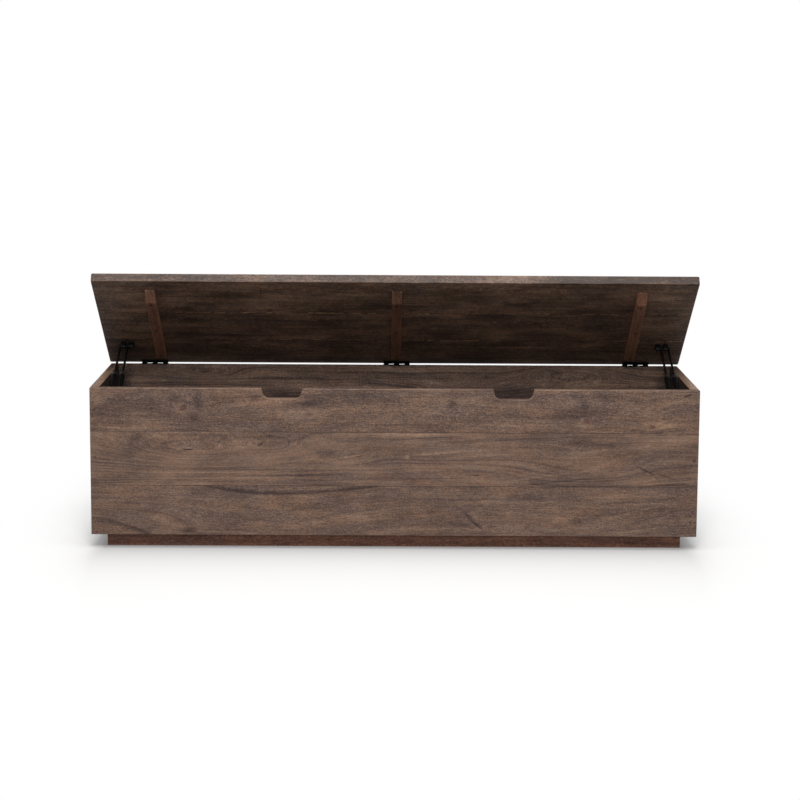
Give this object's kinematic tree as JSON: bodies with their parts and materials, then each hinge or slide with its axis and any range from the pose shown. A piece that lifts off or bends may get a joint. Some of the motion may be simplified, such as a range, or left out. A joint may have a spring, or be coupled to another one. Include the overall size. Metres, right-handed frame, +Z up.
{
  "type": "storage bench",
  "caption": "Long low storage bench: edge-glued wooden box on an inset plinth, hinged lid on gas struts, finger notches in the front rim.",
  "frame": {"origin": "on the floor, under the middle of the box, on the plinth's centre cross rail", "axes": "+X to the right along the bench for someone facing it, +Y towards its back where the lid's hinges are, +Z up"},
  "size_m": [1.524, 0.4681, 0.6817],
  "materials": {
    "bench_wood": "matte oiled hardwood, grey-brown",
    "plinth_wood": "matte hardwood, redder and darker",
    "batten_wood": "matte hardwood, reddish brown",
    "plywood": "matte stained plywood",
    "plug_wood": "matte hardwood plug",
    "black_steel": "black powder coat",
    "black_tube": "gloss black paint",
    "bright_cap": "bright steel",
    "dark_rod": "blackened, polished steel",
    "black_plastic": "matte black plastic",
    "zinc_screw": "dull zinc"
  },
  "bodies": {
    "carcass": {"anchor_screws": "black_steel", "back_bottom_board": "bench_wood", "back_cleat": "batten_wood", "back_middle_board": "bench_wood", "back_top_board": "bench_wood", "bottom_panel": "plywood", "box_leaf_screws": "black_steel", "centre_bearer": "batten_wood", "centre_hinge_box_leaf": "black_steel", "cleat_screws": "zinc_screw", "corner_screws": "zinc_screw", "end_cleats": "batten_wood", "front_bottom_board": "bench_wood", "front_cleat": "batten_wood", "front_middle_board": "bench_wood", "front_top_board": "bench_wood", "hinge_pins": "black_steel", "left_end_boards": "bench_wood", "left_hinge_box_leaf": "black_steel", "left_strut_anchor": "black_steel", "plinth_back_rail": "plinth_wood", "plinth_corner_blocks": "plinth_wood", "plinth_cross_rail": "plinth_wood", "plinth_front_rail": "plinth_wood", "plinth_left_rail": "plinth_wood", "plinth_right_rail": "plinth_wood", "plinth_screws": "zinc_screw", "right_end_boards": "bench_wood", "right_hinge_box_leaf": "black_steel", "right_strut_anchor": "black_steel", "strut_clips": "black_plastic", "strut_spacers": "black_plastic", "wood_plugs": "plug_wood"},
    "lid": {"batten_screws": "zinc_screw", "bracket_screws": "black_steel", "centre_batten": "batten_wood", "centre_hinge_lid_leaf": "black_steel", "left_batten": "batten_wood", "left_hinge_lid_leaf": "black_steel", "left_lid_brackets": "black_steel", "lid_front_board": "bench_wood", "lid_leaf_screws": "black_steel", "lid_middle_board": "bench_wood", "lid_rear_board": "bench_wood", "right_batten": "batten_wood", "right_hinge_lid_leaf": "black_steel", "right_lid_brackets": "black_steel"},
    "left_outer_cylinder": {"left_outer_strut_cylinder": "black_tube", "left_outer_strut_cap": "bright_cap"},
    "left_outer_rod": {"left_outer_strut_rod": "dark_rod"},
    "left_inner_cylinder": {"left_inner_strut_cylinder": "black_tube", "left_inner_strut_cap": "bright_cap"},
    "left_inner_rod": {"left_inner_strut_rod": "dark_rod"},
    "right_outer_cylinder": {"right_outer_strut_cylinder": "black_tube", "right_outer_strut_cap": "bright_cap"},
    "right_outer_rod": {"right_outer_strut_rod": "dark_rod"},
    "right_inner_cylinder": {"right_inner_strut_cylinder": "black_tube", "right_inner_strut_cap": "bright_cap"},
    "right_inner_rod": {"right_inner_strut_rod": "dark_rod"}
  },
  "joints": [
    {"name": "lid_hinge", "type": "hinge", "parent": "carcass", "child": "lid", "pos_m": [0, 0.23, 0.404], "axis": [-1, 0, 0], "range_deg": [-34, 0]},
    {"name": "left_outer_strut_swing", "type": "hinge", "parent": "carcass", "child": "left_outer_cylinder", "pos_m": [-0.723, -0.16, 0.341], "axis": [1, 0, 0], "range_deg": [-10.45, 0]},
    {"name": "left_outer_strut_slide", "type": "slide", "parent": "left_outer_cylinder", "child": "left_outer_rod", "axis": [0, 0.9246, 0.3809], "range_m": [-0.0348, 0]},
    {"name": "left_inner_strut_swing", "type": "hinge", "parent": "carcass", "child": "left_inner_cylinder", "pos_m": [-0.703, -0.16, 0.341], "axis": [1, 0, 0], "range_deg": [-10.45, 0]},
    {"name": "left_inner_strut_slide", "type": "slide", "parent": "left_inner_cylinder", "child": "left_inner_rod", "axis": [0, 0.9246, 0.3809], "range_m": [-0.0348, 0]},
    {"name": "right_outer_strut_swing", "type": "hinge", "parent": "carcass", "child": "right_outer_cylinder", "pos_m": [0.723, -0.16, 0.341], "axis": [1, 0, 0], "range_deg": [-10.45, 0]},
    {"name": "right_outer_strut_slide", "type": "slide", "parent": "right_outer_cylinder", "child": "right_outer_rod", "axis": [0, 0.9246, 0.3809], "range_m": [-0.0348, 0]},
    {"name": "right_inner_strut_swing", "type": "hinge", "parent": "carcass", "child": "right_inner_cylinder", "pos_m": [0.703, -0.16, 0.341], "axis": [1, 0, 0], "range_deg": [-10.45, 0]},
    {"name": "right_inner_strut_slide", "type": "slide", "parent": "right_inner_cylinder", "child": "right_inner_rod", "axis": [0, 0.9246, 0.3809], "range_m": [-0.0348, 0]}
  ],
  "couplings": [
    {"joint": "left_outer_strut_swing", "follows": "lid_hinge", "ratio": 0.30666},
    {"joint": "left_outer_strut_slide", "follows": "lid_hinge", "m_per_rad": 0.0585},
    {"joint": "left_inner_strut_swing", "follows": "lid_hinge", "ratio": 0.30666},
    {"joint": "left_inner_strut_slide", "follows": "lid_hinge", "m_per_rad": 0.0585},
    {"joint": "right_outer_strut_swing", "follows": "lid_hinge", "ratio": 0.30666},
    {"joint": "right_outer_strut_slide", "follows": "lid_hinge", "m_per_rad": 0.0585},
    {"joint": "right_inner_strut_swing", "follows": "lid_hinge", "ratio": 0.30666},
    {"joint": "right_inner_strut_slide", "follows": "lid_hinge", "m_per_rad": 0.0585}
  ]
}
